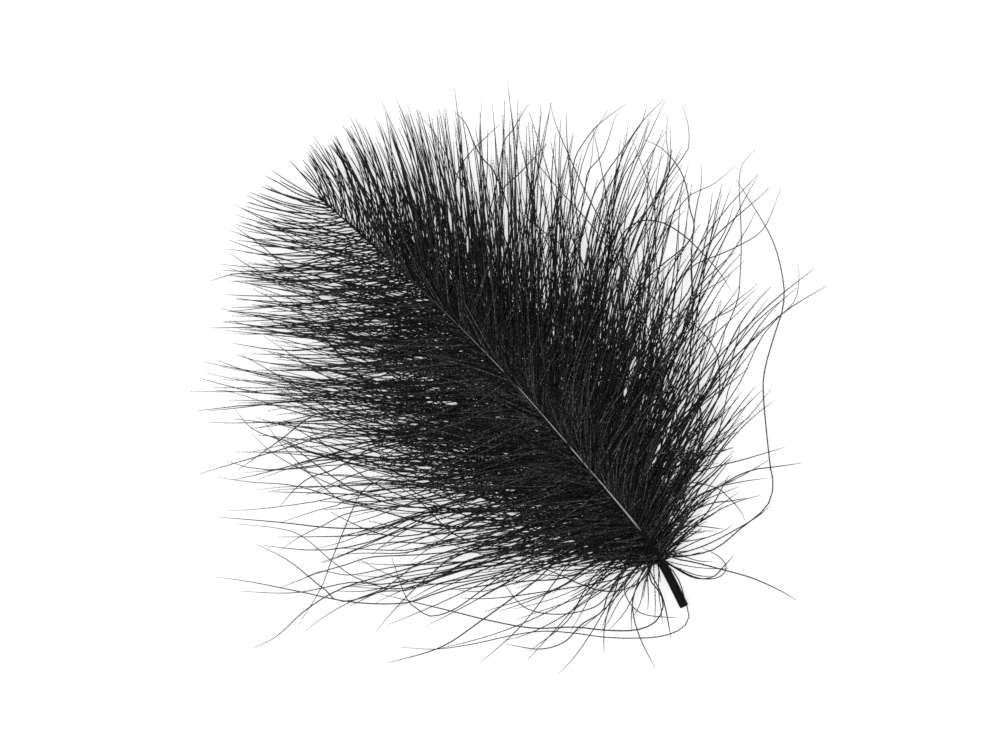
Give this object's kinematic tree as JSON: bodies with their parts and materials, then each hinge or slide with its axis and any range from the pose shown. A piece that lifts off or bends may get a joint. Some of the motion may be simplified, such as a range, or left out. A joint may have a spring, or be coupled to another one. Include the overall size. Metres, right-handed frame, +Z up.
{
  "type": "cul de canard feather",
  "caption": "Soft black down feather lying flat, with a thin curved shaft, a short bare quill and long loose locks of down on both sides.",
  "frame": {"origin": "on the surface that the feather lies on, under the middle of its box", "axes": "+Y along the shaft towards its thin end, +X towards the right vane, +Z up from the surface"},
  "size_m": [0.0706, 0.0674, 0.0032],
  "materials": {
    "feather_black": "soft matte black down, with a satin shaft"
  },
  "bodies": {
    "root": {"feather": "feather_black"}
  },
  "joints": []
}
